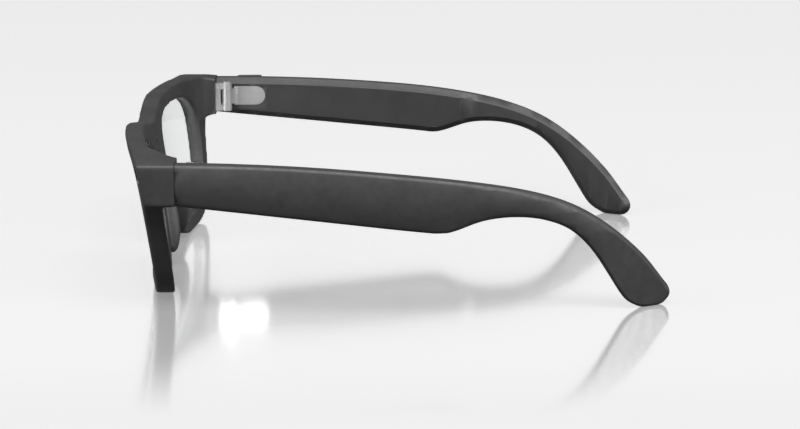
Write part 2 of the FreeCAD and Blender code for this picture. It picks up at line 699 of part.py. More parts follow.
def face_x(y, depth):
    """Distance of a temple face from the middle plane, at y."""
    share = depth / TEMPLE_T
    radius = 1 / ((1 - share) / CURVE_OUT_R + share / CURVE_IN_R)
    bent = max(0.0, y - CURVE_START)
    return HALF_W - depth + SPLAY * y - bent ** 2 / (2 * radius)


def long_edges(solid, near, far):
    """Edges that run along the temple between two depths below its outer face."""
    found = []
    for edge in solid.Edges:
        mid = edge.CenterOfMass
        inside = face_x(mid.y, far) < mid.x < face_x(mid.y, near)
        if edge.BoundBox.YLength > 4 and inside:
            found.append(edge)
    return found


def temple_blank():
    """Solid temple, with a bevel along the top of the inner face."""
    blank = temple_outline().common(temple_slab(0, TEMPLE_T))
    tops = [e for e in long_edges(blank, TEMPLE_T - 0.9, TEMPLE_T + 2)
            if e.BoundBox.ZMax > low_z(0) + 2 and e.CenterOfMass.z > low_z(STRAIGHT) + 2]
    return blank.makeChamfer(INNER_BEVEL, tops)


def cavity():
    """Hollow for the electronics: shallow under the hinge, deeper under the cover."""
    front = band(CAVITY_START, COVER_START + 1.5, EDGE_WALL).common(temple_slab(WALL, TEMPLE_T - HINGE_WALL))
    main = band(COVER_START + LEDGE, CAVITY_END, EDGE_WALL).common(temple_slab(WALL, COVER_BACK + 0.1))
    return front.fuse(main)


def cover_recess(play):
    inset = EDGE_WALL - LEDGE + play
    ends = band(COVER_START + play, CAVITY_END + LEDGE - play, inset)
    return ends.common(temple_slab(COVER_BACK, TEMPLE_T + 1))


def speaker_slots():
    """Short slots through the temple's lower edge, under the speaker."""
    slots = []
    for k in range(SPEAKER_SLOTS):
        y = SPEAKER_AT + (k - (SPEAKER_SLOTS - 1) / 2) * SLOT_PITCH
        slot = stadium(SLOT_L, SLOT_W, EDGE_WALL + 3)
        slot.rotate(Vector(0, 0, 0), Vector(0, 0, 1), 90)
        slot.translate(Vector(face_x(y, TEMPLE_T * 0.48), y, low_z(y) - 1))
        slots.append(slot)
    return slots


def microphone_hole():
    x = face_x(MIC_AT, HOLLOW_MID)
    return Part.makeCylinder(MIC_HOLE_R, EDGE_WALL + 2, Vector(x, MIC_AT, low_z(MIC_AT) - 1))


def temple_shell():
    shell = temple_blank().cut(cavity()).cut(cover_recess(0)).cut(hinge_temple_leaf())
    cuts = speaker_slots() + [microphone_hole()]
    cuts.append(wire_channel(-1, CAVITY_START + 1))
    for cutter in cuts:
        shell = shell.cut(cutter)
    return shell


def temple_cover():
    """Flat lid that closes the temple on the inner side, flush with it."""
    return cover_recess(COVER_FIT).common(temple_slab(0, TEMPLE_T)).common(temple_blank())


def button_solid(grow, low, high):
    """Upright rounded bar at the capture button's place, between two heights."""
    bar = stadium(BUTTON_L + 2 * grow, BUTTON_W + 2 * grow, high - low)
    bar.rotate(Vector(0, 0, 0), Vector(0, 0, 1), 90 - math.degrees(math.atan(SPLAY)))
    bar.translate(Vector(face_x(BUTTON_AT, HOLLOW_MID), BUTTON_AT, low))
    return bar


def button_seat_z():
    """Underside of the wall that the button comes through."""
    return top_z(BUTTON_AT + BUTTON_L / 2 + BUTTON_FLANGE) - EDGE_WALL


def capture_button():
    """Cap through the temple's top, with a flange that keeps it in."""
    seat = button_seat_z()
    low = seat - BUTTON_LIFT - BUTTON_FLANGE_T
    cap = button_solid(0, low, top_z(BUTTON_AT) + BUTTON_PROUD)
    flange = button_solid(BUTTON_FLANGE, low, seat - BUTTON_LIFT)
    return cap.fuse(flange).removeSplitter()


def tactile_switch():
    """Switch body on its own small board, with a round plunger under the button."""
    top = button_seat_z() - BUTTON_LIFT - BUTTON_FLANGE_T - BUTTON_TRAVEL - TACTILE_PLAY
    face = top - TACTILE_TIP_H
    x = face_x(BUTTON_AT, HOLLOW_MID)
    y = BUTTON_AT
    body = Part.makeBox(TACTILE_W, TACTILE_L, TACTILE_H)
    body.translate(Vector(x - TACTILE_W / 2, y - TACTILE_L / 2, face - TACTILE_H))
    return body.fuse(Part.makeCylinder(TACTILE_TIP_R, TACTILE_TIP_H, Vector(x, y, face)))


def slider_stem(grow, travel, near, far):
    """Part of the power slider that passes through the cover."""
    half = STEM_W / 2 + grow
    start = SLIDER_AT - STEM_L / 2 - grow
    return in_temple(box(near, far, start, start + STEM_L + 2 * grow + travel, -half, half))


def power_slider():
    """Ribbed thumb piece on the inner face, with a stem down to the switch."""
    low = TEMPLE_T + SLIDER_LIFT
    half = SLIDER_W / 2
    start = SLIDER_AT - SLIDER_L / 2
    cap = box(low, low + SLIDER_H, start, start + SLIDER_L, -half, half)
    cap = cap.makeFillet(SLIDER_ROUND, [e for e in cap.Edges if e.BoundBox.XLength > SLIDER_H * 0.9])
    top = low + SLIDER_H
    for k in range(SLIDER_RIBS):
        y = SLIDER_AT + (k - (SLIDER_RIBS - 1) / 2) * RIB_PITCH
        cap = cap.cut(box(top - RIB_DEPTH, top + 1, y - RIB_W / 2, y + RIB_W / 2, -half, half))
    return in_temple(cap).fuse(slider_stem(0, 0, SWITCH_TOP + 0.05, low + 0.1))


def slide_switch():
    """Body of the power switch, behind the cover."""
    start = SLIDER_AT + (SLIDER_TRAVEL - SWITCH_L) / 2
    half = SWITCH_H / 2
    return in_temple(box(SWITCH_TOP - SWITCH_T, SWITCH_TOP, start, start + SWITCH_L, -half, half))


def in_cavity(length, thick, height, start, depth, corner):
    """Block with rounded corners, lying along the temple's middle line."""
    block = box(depth, depth + thick, start, start + length, -height / 2, height / 2)
    block = block.makeFillet(corner, [e for e in block.Edges if e.BoundBox.XLength > thick * 0.9])
    return in_temple(block)


def speaker():
    """Oblong driver: a frame with a raised membrane."""
    start = SPEAKER_AT - SPEAKER_L / 2
    less = 2 * SPEAKER_BEZEL
    frame = in_cavity(SPEAKER_L, SPEAKER_FRAME_T, SPEAKER_H, start, SPEAKER_DEPTH, SPEAKER_BEZEL)
    dome = in_cavity(SPEAKER_L - less, SPEAKER_T, SPEAKER_H - less, start + SPEAKER_BEZEL, SPEAKER_DEPTH, 1.0)
    return frame.fuse(dome)


def microphone():
    x = face_x(MIC_AT, HOLLOW_MID)
    start = MIC_AT - MIC_BODY_L / 2
    low = low_z(start) + EDGE_WALL + MIC_PLAY
    return box(x - MIC_BODY_W / 2, x + MIC_BODY_W / 2, start, start + MIC_BODY_L, low, low + MIC_BODY_H)


def shield(start, length):
    """Thin metal can over the chips."""
    half = BOARD_H / 2 - CAN_INSET
    top = BOARD_DEPTH - CAN_T
    can = box(top, BOARD_DEPTH, start, start + length, -half, half)
    wall = CAN_WALL
    hollow = box(top + wall, BOARD_DEPTH, start + wall, start + length - wall, wall - half, half - wall)
    return in_temple(can.cut(hollow))


# ---------------------------------------------------------------- pieces
left_shell = temple_shell()
left_cover = temple_cover()

export("front_frame", front_frame())
export("left_lens", lens())
export("right_lens", mirrored(lens()))
export("brow_flex", brow_flex())
export("camera_module", camera_module())
export("camera_trim_ring", trim_ring())
export("camera_window", window())
export("light_board", mirrored(light_board()))
export("light_guide", mirrored(light_guide()))
export("light_trim_ring", mirrored(trim_ring()))
export("light_window", mirrored(window()))
export("bridge_microphone", port_plug(MIC_X, MIC_Z, MIC_L, MIC_H, PORT_DEPTH, 0.4))
export("charging_contacts", port_plug(CONTACT_X, CONTACT_Z, CONTACT_L, CONTACT_H, PORT_DEPTH, 0.5))
export("left_hinge_front_leaf", hinge_front_leaf())
export("right_hinge_front_leaf", mirrored(hinge_front_leaf()))
export("left_hinge_screw", hinge_screw())
export("right_hinge_screw", mirrored(hinge_screw()))

slider_slot = slider_stem(STEM_FIT, SLIDER_TRAVEL, SWITCH_TOP, TEMPLE_T + 1)
export("left_temple_shell", left_shell)
export("left_temple_cover", left_cover.cut(slider_slot))
export("left_hinge_temple_leaf", hinge_temple_leaf())
export("battery", in_cavity(BATTERY_L, BATTERY_T, BATTERY_H, BATTERY_AT, WALL + BATTERY_PLAY, 1.0))
export("left_speaker", speaker())
export("left_microphone", microphone())
export("slide_switch", slide_switch())
export("power_slider", power_slider())

button_hole = button_solid(BUTTON_FIT, button_seat_z() - 1, TOP_Z + 5)
export("right_temple_shell", mirrored(left_shell.cut(button_hole)))
export("right_temple_cover", mirrored(left_cover))
export("right_hinge_temple_leaf", mirrored(hinge_temple_leaf()))
export("main_board", mirrored(in_cavity(BOARD_L, BOARD_T, BOARD_H, BOARD_AT, BOARD_DEPTH, 0.8)))
export("processor_shield", mirrored(shield(BOARD_AT + PROCESSOR_AT, PROCESSOR_L)))
export("radio_shield", mirrored(shield(BOARD_AT + RADIO_AT, RADIO_L)))
export("touch_sensor", mirrored(in_cavity(BOARD_L, TOUCH_T, BOARD_H - 2 * TOUCH_INSET, BOARD_AT, WALL, 0.8)))
export("right_speaker", mirrored(speaker()))
export("right_microphone", mirrored(microphone()))
export("tactile_switch", mirrored(tactile_switch()))
export("capture_button", mirrored(capture_button()))
print("pivot", PIVOT_X, SEAM_Y + PIVOT_BACK, SEAM_MID, "seam y", SEAM_Y)
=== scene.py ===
# %% [markdown]
# Smart glasses: a plastic front with two lenses, and two hollow side arms
# that fold on small steel hinges. A camera looks out of one end of the front
# and a light out of the other.
#
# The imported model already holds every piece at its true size, so it is
# loaded first and kept as a fixed frame. The hard inner pieces stay as they
# are and only get a finish. The front and both arms are moulded plastic with
# soft edges, and those are modelled again here, inside the same sizes.

# %% Load the frame
import math

import bpy
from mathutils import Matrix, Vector


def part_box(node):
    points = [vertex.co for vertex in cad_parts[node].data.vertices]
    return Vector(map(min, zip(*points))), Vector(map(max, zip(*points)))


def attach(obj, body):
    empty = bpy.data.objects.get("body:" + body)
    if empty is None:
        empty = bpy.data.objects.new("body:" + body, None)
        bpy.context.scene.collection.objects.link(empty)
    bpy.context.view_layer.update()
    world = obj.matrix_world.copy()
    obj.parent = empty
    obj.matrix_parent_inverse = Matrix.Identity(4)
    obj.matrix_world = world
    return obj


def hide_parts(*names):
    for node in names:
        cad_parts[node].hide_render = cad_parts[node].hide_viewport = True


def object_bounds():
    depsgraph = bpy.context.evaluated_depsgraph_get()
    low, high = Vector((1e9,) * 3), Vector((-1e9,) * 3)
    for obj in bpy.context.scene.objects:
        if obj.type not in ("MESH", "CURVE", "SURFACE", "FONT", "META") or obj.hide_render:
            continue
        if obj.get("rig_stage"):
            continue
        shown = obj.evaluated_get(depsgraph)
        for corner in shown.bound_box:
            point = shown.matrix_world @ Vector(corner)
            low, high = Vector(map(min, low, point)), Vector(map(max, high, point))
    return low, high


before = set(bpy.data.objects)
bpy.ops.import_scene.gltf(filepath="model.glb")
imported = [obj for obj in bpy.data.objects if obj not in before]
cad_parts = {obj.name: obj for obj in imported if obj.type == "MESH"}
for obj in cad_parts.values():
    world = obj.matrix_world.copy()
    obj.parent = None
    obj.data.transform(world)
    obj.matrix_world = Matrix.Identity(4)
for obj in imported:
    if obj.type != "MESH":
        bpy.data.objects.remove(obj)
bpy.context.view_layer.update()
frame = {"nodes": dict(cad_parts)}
nodes = frame["nodes"]
print("pieces in the frame:", len(nodes))

# %% [markdown]
# Everything is in metres here, but glasses are thought of in millimetres.
# So sizes are written in millimetres and multiplied by MM. Distances along
# the arms are counted from the seam, the thin slit between front and arm.

# %% Units and the seam
MM = 0.001
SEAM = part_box("front_frame")[1].y
HALF_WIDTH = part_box("front_frame")[1].x
print("the seam is at y =", round(SEAM / MM, 2), "mm")
print("the front is", round(2 * HALF_WIDTH / MM, 1), "mm wide")

# %% [markdown]
# A few helpers keep the later steps short. An operator in Blender acts on
# whatever is selected, so each step first deselects everything and then
# picks the faces or edges it needs, by where they are or which way they face.

# %% Selecting and applying
def only(obj):
    bpy.ops.object.select_all(action="DESELECT")
    obj.select_set(True)
    bpy.context.view_layer.objects.active = obj


def edit(obj, mode="FACE"):
    only(obj)
    bpy.ops.object.mode_set(mode="EDIT")
    bpy.ops.mesh.select_mode(type=mode)
    bpy.ops.mesh.select_all(action="DESELECT")
    bpy.ops.object.mode_set(mode="OBJECT")


def pick(parts, test):
    count = 0
    for part in parts:
        part.select = bool(test(part))
        count += part.select
    bpy.ops.object.mode_set(mode="EDIT")
    return count


def done():
    bpy.ops.object.mode_set(mode="OBJECT")


def add_modifier(obj, kind, **settings):
    only(obj)
    modifier = obj.modifiers.new(kind.title(), kind)
    for name, value in settings.items():
        setattr(modifier, name, value)
    bpy.ops.object.modifier_apply(modifier=modifier.name)


def cut(obj, tool, operation="DIFFERENCE", keep=False):
    add_modifier(obj, "BOOLEAN", operation=operation, object=tool, solver="EXACT")
    if not keep:
        bpy.data.objects.remove(tool)


def tidy(obj):
    edit(obj, "VERT")
    bpy.ops.object.mode_set(mode="EDIT")
    bpy.ops.mesh.select_all(action="SELECT")
    bpy.ops.mesh.remove_doubles(threshold=0.000001)
    bpy.ops.mesh.normals_make_consistent(inside=False)
    done()


print("helpers ready")

# %% [markdown]
# Many pieces start as a drawn outline that is given a thickness. A pen-like
# way to draw it is a Bezier curve through a few points, with smooth handles
# where it flows and straight ones at corners. The curve becomes a mesh, its
# ring of edges is filled with one face, and that face is extruded.

# %% Outline to solid
def drawn(name, points, depth, fine=5):
    """points are (place in mm, "AUTO" or "VECTOR"); depth is the extrusion in mm."""
    bpy.ops.object.select_all(action="DESELECT")
    bpy.ops.curve.primitive_bezier_curve_add()
    obj = bpy.context.object
    obj.name = name
    obj.data.dimensions = "3D"
    obj.data.resolution_u = fine
    spline = obj.data.splines[0]
    spline.bezier_points.add(len(points) - 2)
    for knob, (place, kind) in zip(spline.bezier_points, points):
        knob.co = Vector(place) * MM
        knob.handle_left_type = kind
        knob.handle_right_type = kind
    spline.use_cyclic_u = True
    bpy.ops.object.convert(target="MESH")
    bpy.ops.object.mode_set(mode="EDIT")
    bpy.ops.mesh.select_all(action="SELECT")
    bpy.ops.mesh.remove_doubles(threshold=0.00002)
    bpy.ops.mesh.edge_face_add()
    bpy.ops.mesh.extrude_region_move(TRANSFORM_OT_translate={"value": Vector(depth) * MM})
    bpy.ops.mesh.select_all(action="SELECT")
    bpy.ops.mesh.normals_make_consistent(inside=False)
    done()
    return obj


def slice_mesh(obj, place, normal, clear=False, fill=False):
    edit(obj)
    bpy.ops.object.mode_set(mode="EDIT")
    bpy.ops.mesh.select_all(action="SELECT")
    bpy.ops.mesh.bisect(plane_co=place, plane_no=normal, use_fill=fill, clear_outer=clear)
    done()


def follow(obj, rule):
    """Moves every point of a mesh by a rule, as a lattice would."""
    for v in obj.data.vertices:
        v.co = rule(v.co)
    obj.data.update()


print("outline helpers ready")

# %% [markdown]
# The arm, seen from the side, is almost straight along its top, steps in
# below where the hollow part ends, and runs out into a tail that drops
# behind the ear and ends in a round tip. First come the two edges as plain
# rules, because the crown of the face needs them too.

# %% Edges of the arm
SEAM_TOP, SEAM_LOW = 46.2, 34.1
STRAIGHT, TIP_Y, TIP_R = 76.5, 141.5, 3.7
TOP_FALL, LOW_FALL = 4.1, 7.8
ARM_T = 6.6
SKIN, GROW = 0.09, 0.15
TAIL_TOP = [(88.5, 40.55), (100.0, 38.31), (116.0, 32.62), (127.0, 25.19), (132.6, 20.21), (139.0, 13.25)]
TAIL_LOW = [(79.1, 26.72), (88.0, 29.72), (96.0, 30.69), (105.0, 29.8), (113.5, 26.41), (120.2, 20.09),
            (126.0, 11.31), (129.3, 5.92), (132.1, 2.5), (135.5, 0.47)]


def top_edge(y):
    return SEAM_TOP + 0.1 - TOP_FALL * (y / STRAIGHT) ** 2


def low_edge(y):
    return SEAM_LOW - LOW_FALL * y / STRAIGHT


def on_tip(degrees):
    turn = math.radians(degrees)
    return (TIP_Y + (TIP_R + GROW) * math.cos(turn), TIP_R + (TIP_R + GROW) * math.sin(turn))


print("the arm is", round(top_edge(0) - low_edge(0), 1), "mm high at the seam")

# %% [markdown]
# The side view is drawn flat, then extruded. Its outline and its inner face
# stand a little past the finished arm, as they are trimmed off later. Only
# the outer face and the round along its edges come from this blank, and they
# are easy to make while it is flat. It also starts in front of the seam, so
# that the seam comes out sharp.

# %% Flat arm
def flat_arm():
    top = [(y, top_edge(max(y, 0)) + GROW) for y in (-4, 0, 20, 40, 60, 76.5)]
    points = [((0, y, z), "AUTO") for y, z in top + [(y, z + GROW) for y, z in TAIL_TOP]]
    points += [((0, *on_tip(a)), "AUTO") for a in (40, 14, -12, -38, -64, -90)]
    points += [((0, y, z - GROW), "AUTO") for y, z in reversed(TAIL_LOW)]
    points += [((0, 76.8, low_edge(76.5) + 0.1), "AUTO"), ((0, 74.1, low_edge(74.1) - GROW), "VECTOR"),
               ((0, -4, low_edge(-4) - GROW), "VECTOR")]
    points[0] = (points[0][0], "VECTOR")
    points[1] = (points[1][0], "VECTOR")
    arm = drawn("left_temple_body", points, (-(ARM_T + 2 * GROW), 0, 0))
    slim = Vector((-SKIN * MM, 0, 0))
    follow(arm, lambda p: p + slim)
    return arm


def height_between(y, line):
    for (y0, z0), (y1, z1) in zip(line, line[1:]):
        if y <= y1:
            return z0 + (z1 - z0) * (y - y0) / (y1 - y0)
    return line[-1][1]


TOP_LINE = [(y, top_edge(y)) for y in (-4, 30, 60, 76.5)] + TAIL_TOP + [(144, 7), (147, 4.5)]
LOW_LINE = [(-4, SEAM_LOW), (74, low_edge(74))] + TAIL_LOW + [(141.5, 0), (147, 3)]


def round_edges(obj, side, width, segments):
    """Bevels the edges of the flat arm that lie on one face."""
    places = [v.co.copy() / MM for v in obj.data.vertices]
    edit(obj, "EDGE")
    count = pick(obj.data.edges, lambda e: all(abs(places[i].x - side) < 1e-3 for i in e.vertices))
    bpy.ops.mesh.bevel(offset=width * MM, segments=segments, profile=0.5, affect="EDGES", clamp_overlap=False)
    done()
    print("rounded", count, "edges by", width, "mm")


arm = flat_arm()
round_edges(arm, -SKIN, 1.2, 4)
print("flat arm:", len(arm.data.vertices), "points")

# %% [markdown]
# The real arm isn't flat: it leans out a little, then curves inward to hug
# the head, and its outer face is slightly crowned, which is what makes the
# light fade softly from its top to its bottom. A flat sheet can only bend
# where it has edges, so the arm is first sliced crosswise and lengthwise.

# %% Slice the arm
for y in [8, 16, 24, 32, 40, 48, 56, *range(60, 145, 4)]:
    slice_mesh(arm, (0, y * MM, 0), (0, 1, 0))
for share in (0.15, 0.32, 0.5, 0.68, 0.85):
    start = low_edge(0) + share * (top_edge(0) - low_edge(0))
    end = low_edge(STRAIGHT) + share * (top_edge(STRAIGHT) - low_edge(STRAIGHT))
    slice_mesh(arm, (0, 0, start * MM), (0, (start - end) / STRAIGHT, 1))
print("sliced arm:", len(arm.data.vertices), "points")

# %% Bend the arm and crown its face
SPLAY, CURVE_START, OUTER_R, INNER_R, CROWN = 0.038, 60.0, 164.0, 177.0, 1.2


def arm_x(y, depth):
    share = depth / ARM_T
    radius = 1 / ((1 - share) / OUTER_R + share / INNER_R)
    x = HALF_WIDTH / MM - depth + SPLAY * y
    if y > CURVE_START:
        tilt = math.hypot(1, SPLAY)
        across, along = radius / tilt, radius * SPLAY / tilt
        start = HALF_WIDTH / MM - depth + SPLAY * CURVE_START
        x = start - across + math.sqrt(radius ** 2 - (y - CURVE_START - along) ** 2)
    return x


def bend_arm(p):
    depth, y, z = -p.x / MM, p.y / MM, p.z / MM
    top, low = height_between(y, TOP_LINE), height_between(y, LOW_LINE)
    off_middle = (z - (top + low) / 2) / max((top - low) / 2, 1)
    crown = CROWN * min(off_middle ** 2, 1.2) * (1 - depth / ARM_T)
    return Vector(((arm_x(y, depth) - crown) * MM, p.y + SEAM, p.z))


follow(arm, bend_arm)
tidy(arm)
innermost = min(v.co.x for v in arm.data.vertices)
print("the two arm tips are", round(2 * innermost / MM), "mm apart")

# %% [markdown]
# The hollow, the seat of the cover and the hinge, the speaker slots and the
# button's hole are already exact in the frame. Keeping what the rounded arm
# and the frame's own shell have in common gives an arm with soft outer edges
# and all of those openings. The shell's copy is merged first, because a
# loaded piece is a set of loose triangles.

# %% Two finished arms
def copy_of(node):
    only(nodes[node])
    bpy.ops.object.duplicate()
    twin = bpy.context.object
    twin.parent = None
    twin.data.materials.clear()
    for key in list(twin.keys()):
        if key.startswith("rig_"):
            del twin[key]
    tidy(twin)
    return twin


def mirror_of(obj, name):
    only(obj)
    bpy.ops.object.duplicate()
    twin = bpy.context.object
    twin.name = name
    bpy.ops.transform.resize(value=(-1, 1, 1), center_override=(0, 0, 0))
    bpy.ops.object.transform_apply(location=True, rotation=True, scale=True)
    tidy(twin)
    return twin


def finish_shape(obj, angle):
    only(obj)
    bpy.ops.object.shade_smooth_by_angle(angle=math.radians(angle))
    add_modifier(obj, "WEIGHTED_NORMAL", keep_sharp=True, weight=80)


arms = {"left": arm, "right": mirror_of(arm, "right_temple_body")}
for side, body in arms.items():
    cut(body, copy_of(side + "_temple_shell"), "INTERSECT")
    finish_shape(body, 28)
    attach(body, side + "_temple")
    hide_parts(side + "_temple_shell")
    print(body.name, len(body.data.polygons), "faces")

# %% [markdown]
# The front is one moulding: two rims, a bridge, two deep ends that reach
# back to the seam, and two pads for the nose. All its edges are soft and
# flow into each other. That is easiest to get by building the rough solids
# first, fusing them as one skin with a voxel remesh, and smoothing that.
#
# Its face is a plate that is flat in the middle, wraps back towards the
# ends, and leans. Here is that surface as a rule, and the lens outline.

# %% Rules of the front
REACH, FRONT_T, LEAN = 19.615, 5.6, math.tan(math.radians(9.2))
WRAP_START, WRAP_R, WRAP_BEND, WRAP_SLOPE = 15.0, 157.0, 32.27, 0.21
LENS_X, LENS_Z, LENS_W, LENS_H = 36.0, 24.15, 50.0, 40.5


def front_y(x):
    out = max(0.0, abs(x) - WRAP_START)
    curved = min(out, WRAP_BEND)
    return -REACH + WRAP_R - math.sqrt(WRAP_R ** 2 - curved ** 2) + (out - curved) * WRAP_SLOPE


def lens_point(degrees, grow):
    def raw(turn):
        up = math.copysign(abs(math.sin(turn)) ** (2 / 3), math.sin(turn))
        side = math.copysign(abs(math.cos(turn)) ** (2 / 3), math.cos(turn)) * (1 + 0.18 * up)
        return Vector((side * LENS_W / 2 / 1.0486, 0, up * LENS_H / 2))

    turn = math.radians(degrees)
    run = (raw(turn + 0.02) - raw(turn - 0.02)).normalized()
    return Vector((LENS_X, 0, LENS_Z)) + raw(turn) + grow * Vector((run.z, 0, -run.x))


print("front wraps back", round(front_y(74) - front_y(0), 1), "mm by its ends")

# %% Outline of the front
def flip(points):
    return [((-x, y, z), kind) for (x, y, z), kind in reversed(points)]


TOP_HALF = [((74, -30, 46.2), "VECTOR"), ((69, -30, 47.5), "AUTO"), ((56, -30, 48.2), "AUTO"),
            ((36, -30, 48.55), "AUTO"), ((21, -30, 48.05), "AUTO"), ((7.9, -30, 45.8), "AUTO")]
RIM = [lens_point(a, 3.9) for a in (-12, -30, -48, -66, -90, -114, -132, -150)]
LOW_HALF = [((74, -30, 34.1), "VECTOR"), ((70.6, -30, 33.2), "AUTO"), ((67.6, -30, 29.5), "AUTO")]
LOW_HALF += [((p.x, -30, p.z), "AUTO") for p in RIM]
LOW_HALF += [((7.9, -30, 25.4), "AUTO"), ((4.4, -30, 30.2), "AUTO")]
RING = TOP_HALF + [((0, -30, 44.7), "AUTO")] + flip(TOP_HALF)
RING += flip(LOW_HALF)[::-1] + [((0, -30, 31.6), "AUTO")] + LOW_HALF[::-1]
silhouette = drawn("silhouette", RING, (0, 40, 0))
print("outline solid has", len(silhouette.data.vertices), "points")

# %% Curved plate
def curved_slab(name, thick):
    bpy.ops.object.select_all(action="DESELECT")
    bpy.ops.mesh.primitive_grid_add(x_subdivisions=90, y_subdivisions=4, size=0.156)
    slab = bpy.context.object
    slab.name = name

    def wrap(p):
        z = p.y + 0.025
        return Vector((p.x, (front_y(p.x / MM) + LEAN * (SEAM_TOP - z / MM)) * MM, z))

    follow(slab, wrap)
    edit(slab)
    bpy.ops.object.mode_set(mode="EDIT")
    bpy.ops.mesh.select_all(action="SELECT")
    bpy.ops.mesh.extrude_region_move(TRANSFORM_OT_translate={"value": (0, thick * MM, 0)})
    bpy.ops.mesh.select_all(action="SELECT")
    bpy.ops.mesh.normals_make_consistent(inside=False)
    done()
    return slab


front = curved_slab("front_body", FRONT_T)
cut(front, silhouette, "INTERSECT", keep=True)
ring = [((p.x, -30, p.z), "AUTO") for p in (lens_point(15 * k + 7.5, -0.8) for k in range(24))]
opening = drawn("lens_opening", ring, (0, 40, 0))
cut(front, opening, keep=True)
cut(front, mirror_of(opening, "other_opening"))
print("plate with two openings:", len(front.data.polygons), "faces")

# %% [markdown]
# Each end of the front is deep, so that the hinge and the arm can meet it.
# Seen from above it sweeps out of the rim, and a hollow cove runs under it.
# It is drawn as a plan, extruded upwards, and trimmed by the same outline.

# %% Deep ends
PLAN = [((75, 3), "VECTOR"), ((63.8, 3), "VECTOR"), ((63.8, -0.3), "AUTO"), ((63.4, -2.8), "AUTO"),
        ((60.8, -5.5), "AUTO"), ((54.8, -9.6), "VECTOR"), ((54.8, -22), "VECTOR"), ((75, -22), "VECTOR")]
end = drawn("left_end", [((x, y, 29.7), k) for (x, y), k in PLAN], (0, 0, 25))
COVE = [((-5.0, 24), "VECTOR"), ((-5.0, 29.7), "VECTOR"), ((-3.71, 32.81), "AUTO"), ((-0.6, 34.1), "VECTOR"),
        ((6, 34.1), "VECTOR"), ((6, 24), "VECTOR")]
cut(end, drawn("cove", [((50, y, z), k) for (y, z), k in COVE], (30, 0, 0)))
cut(end, curved_slab("behind", 60), "INTERSECT")
cut(end, silhouette, "INTERSECT")
cut(end, opening)
slice_mesh(end, (0, 0, 46.7 * MM), (0, 0.24, 1), clear=True, fill=True)
ends = [end, mirror_of(end, "right_end")]
print("deep ends:", [len(o.data.polygons) for o in ends])

# %% [markdown]
# The nose pads are smooth ovals that swell out of the back of the rims. A
# stretched sphere, leaned like the front and spread downwards, is enough,
# because the remesh melts it into the rim.

# %% Nose pads
def nose_pad(way):
    bpy.ops.object.select_all(action="DESELECT")
    x, z = 11.3, LENS_Z - 8.5
    y = front_y(x) + LEAN * (SEAM_TOP - z) + FRONT_T
    bpy.ops.mesh.primitive_uv_sphere_add(segments=48, ring_count=24, radius=MM,
                                         location=(way * x * MM, y * MM, z * MM))
    pad = bpy.context.object
    pad.scale = (1.95, 3.7, 11.6)
    pad.rotation_euler = (math.radians(9.2), math.radians(way * -16), 0)
    bpy.ops.object.transform_apply(location=True, rotation=True, scale=True)
    return pad


pads = [nose_pad(1), nose_pad(-1)]
print("pads are", round(pads[0].dimensions.z / MM, 1), "mm high")

# %% Fuse and soften the front
only(front)
for piece in ends + pads:
    piece.select_set(True)
bpy.ops.object.join()
follow(front, lambda p: p + Vector((0, SEAM, 0)))
add_modifier(front, "REMESH", mode="VOXEL", voxel_size=0.38 * MM)
add_modifier(front, "SMOOTH", factor=0.5, iterations=18)
slice_mesh(front, (0, SEAM, 0), (0, 1, 0), clear=True, fill=True)
print("front skin:", len(front.data.polygons), "faces")

# %% [markdown]
# Holes with a crisp edge come after the smoothing: the two round seats for
# the camera and the light, and two small slots on the back of the bridge
# for a microphone and for charging. Each tool is a cylinder or a rounded
# bar, placed from the frame's own pieces, and taken away from the front.

# %% Round seats and slots
AIM = Vector((WRAP_SLOPE, -1, -LEAN)).normalized()
SEAT_X, SEAT_Z, SEAT_R = 66.4, 41.2, 4.2
for way in (1, -1):
    aim = Vector((way * AIM.x, AIM.y, AIM.z))
    face = Vector((way * SEAT_X, front_y(SEAT_X) + LEAN * (SEAM_TOP - SEAT_Z), SEAT_Z)) * MM
    face += Vector((0, SEAM, 0))
    bpy.ops.object.select_all(action="DESELECT")
    bpy.ops.mesh.primitive_cylinder_add(vertices=96, radius=SEAT_R * MM, depth=10 * MM,
                                        location=face - aim * 1.3 * MM,
                                        rotation=aim.to_track_quat("Z", "Y").to_euler())
    cut(front, bpy.context.object)
for node in ("bridge_microphone", "charging_contacts"):
    low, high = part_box(node)
    middle, size = (low + high) / 2, high - low
    bpy.ops.object.select_all(action="DESELECT")
    bpy.ops.mesh.primitive_cylinder_add(vertices=32, radius=size.z / 2 + 0.05 * MM, depth=4 * MM,
                                        location=(middle.x, high.y + 1.5 * MM, middle.z),
                                        rotation=(math.pi / 2, 0, 0))
    tool = bpy.context.object
    edit(tool, "VERT")
    pick(tool.data.vertices, lambda v: v.co.x > -1e-5)
    bpy.ops.transform.translate(value=((size.x - size.z) / 2, 0, 0))
    done()
    edit(tool, "VERT")
    pick(tool.data.vertices, lambda v: v.co.x < -1e-5)
    bpy.ops.transform.translate(value=(-(size.x - size.z) / 2, 0, 0))
    done()
    cut(front, tool)
finish_shape(front, 32)
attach(front, "front")
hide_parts("front_frame")
print("front:", len(front.data.polygons), "faces")

# %% [markdown]
# Now the finishes. The glasses are matte black plastic: very dark, with a
# fine moulded grain that breaks the shine up. A finish is a small network:
# noise at the scale of the grain drives the bump, wider noise shifts the
# colour and the roughness a little, so no area is perfectly even.

# %% Material helpers
def new_material(name, colour, roughness, **inputs):
    material = bpy.data.materials.new(name)
    material.use_nodes = True
    shader = material.node_tree.nodes["Principled BSDF"]
    shader.inputs["Base Color"].default_value = (*colour, 1)
    shader.inputs["Roughness"].default_value = roughness
    for key, value in inputs.items():
        shader.inputs[key.replace("_", " ")].default_value = value
    return material, material.node_tree.nodes, material.node_tree.links, shader


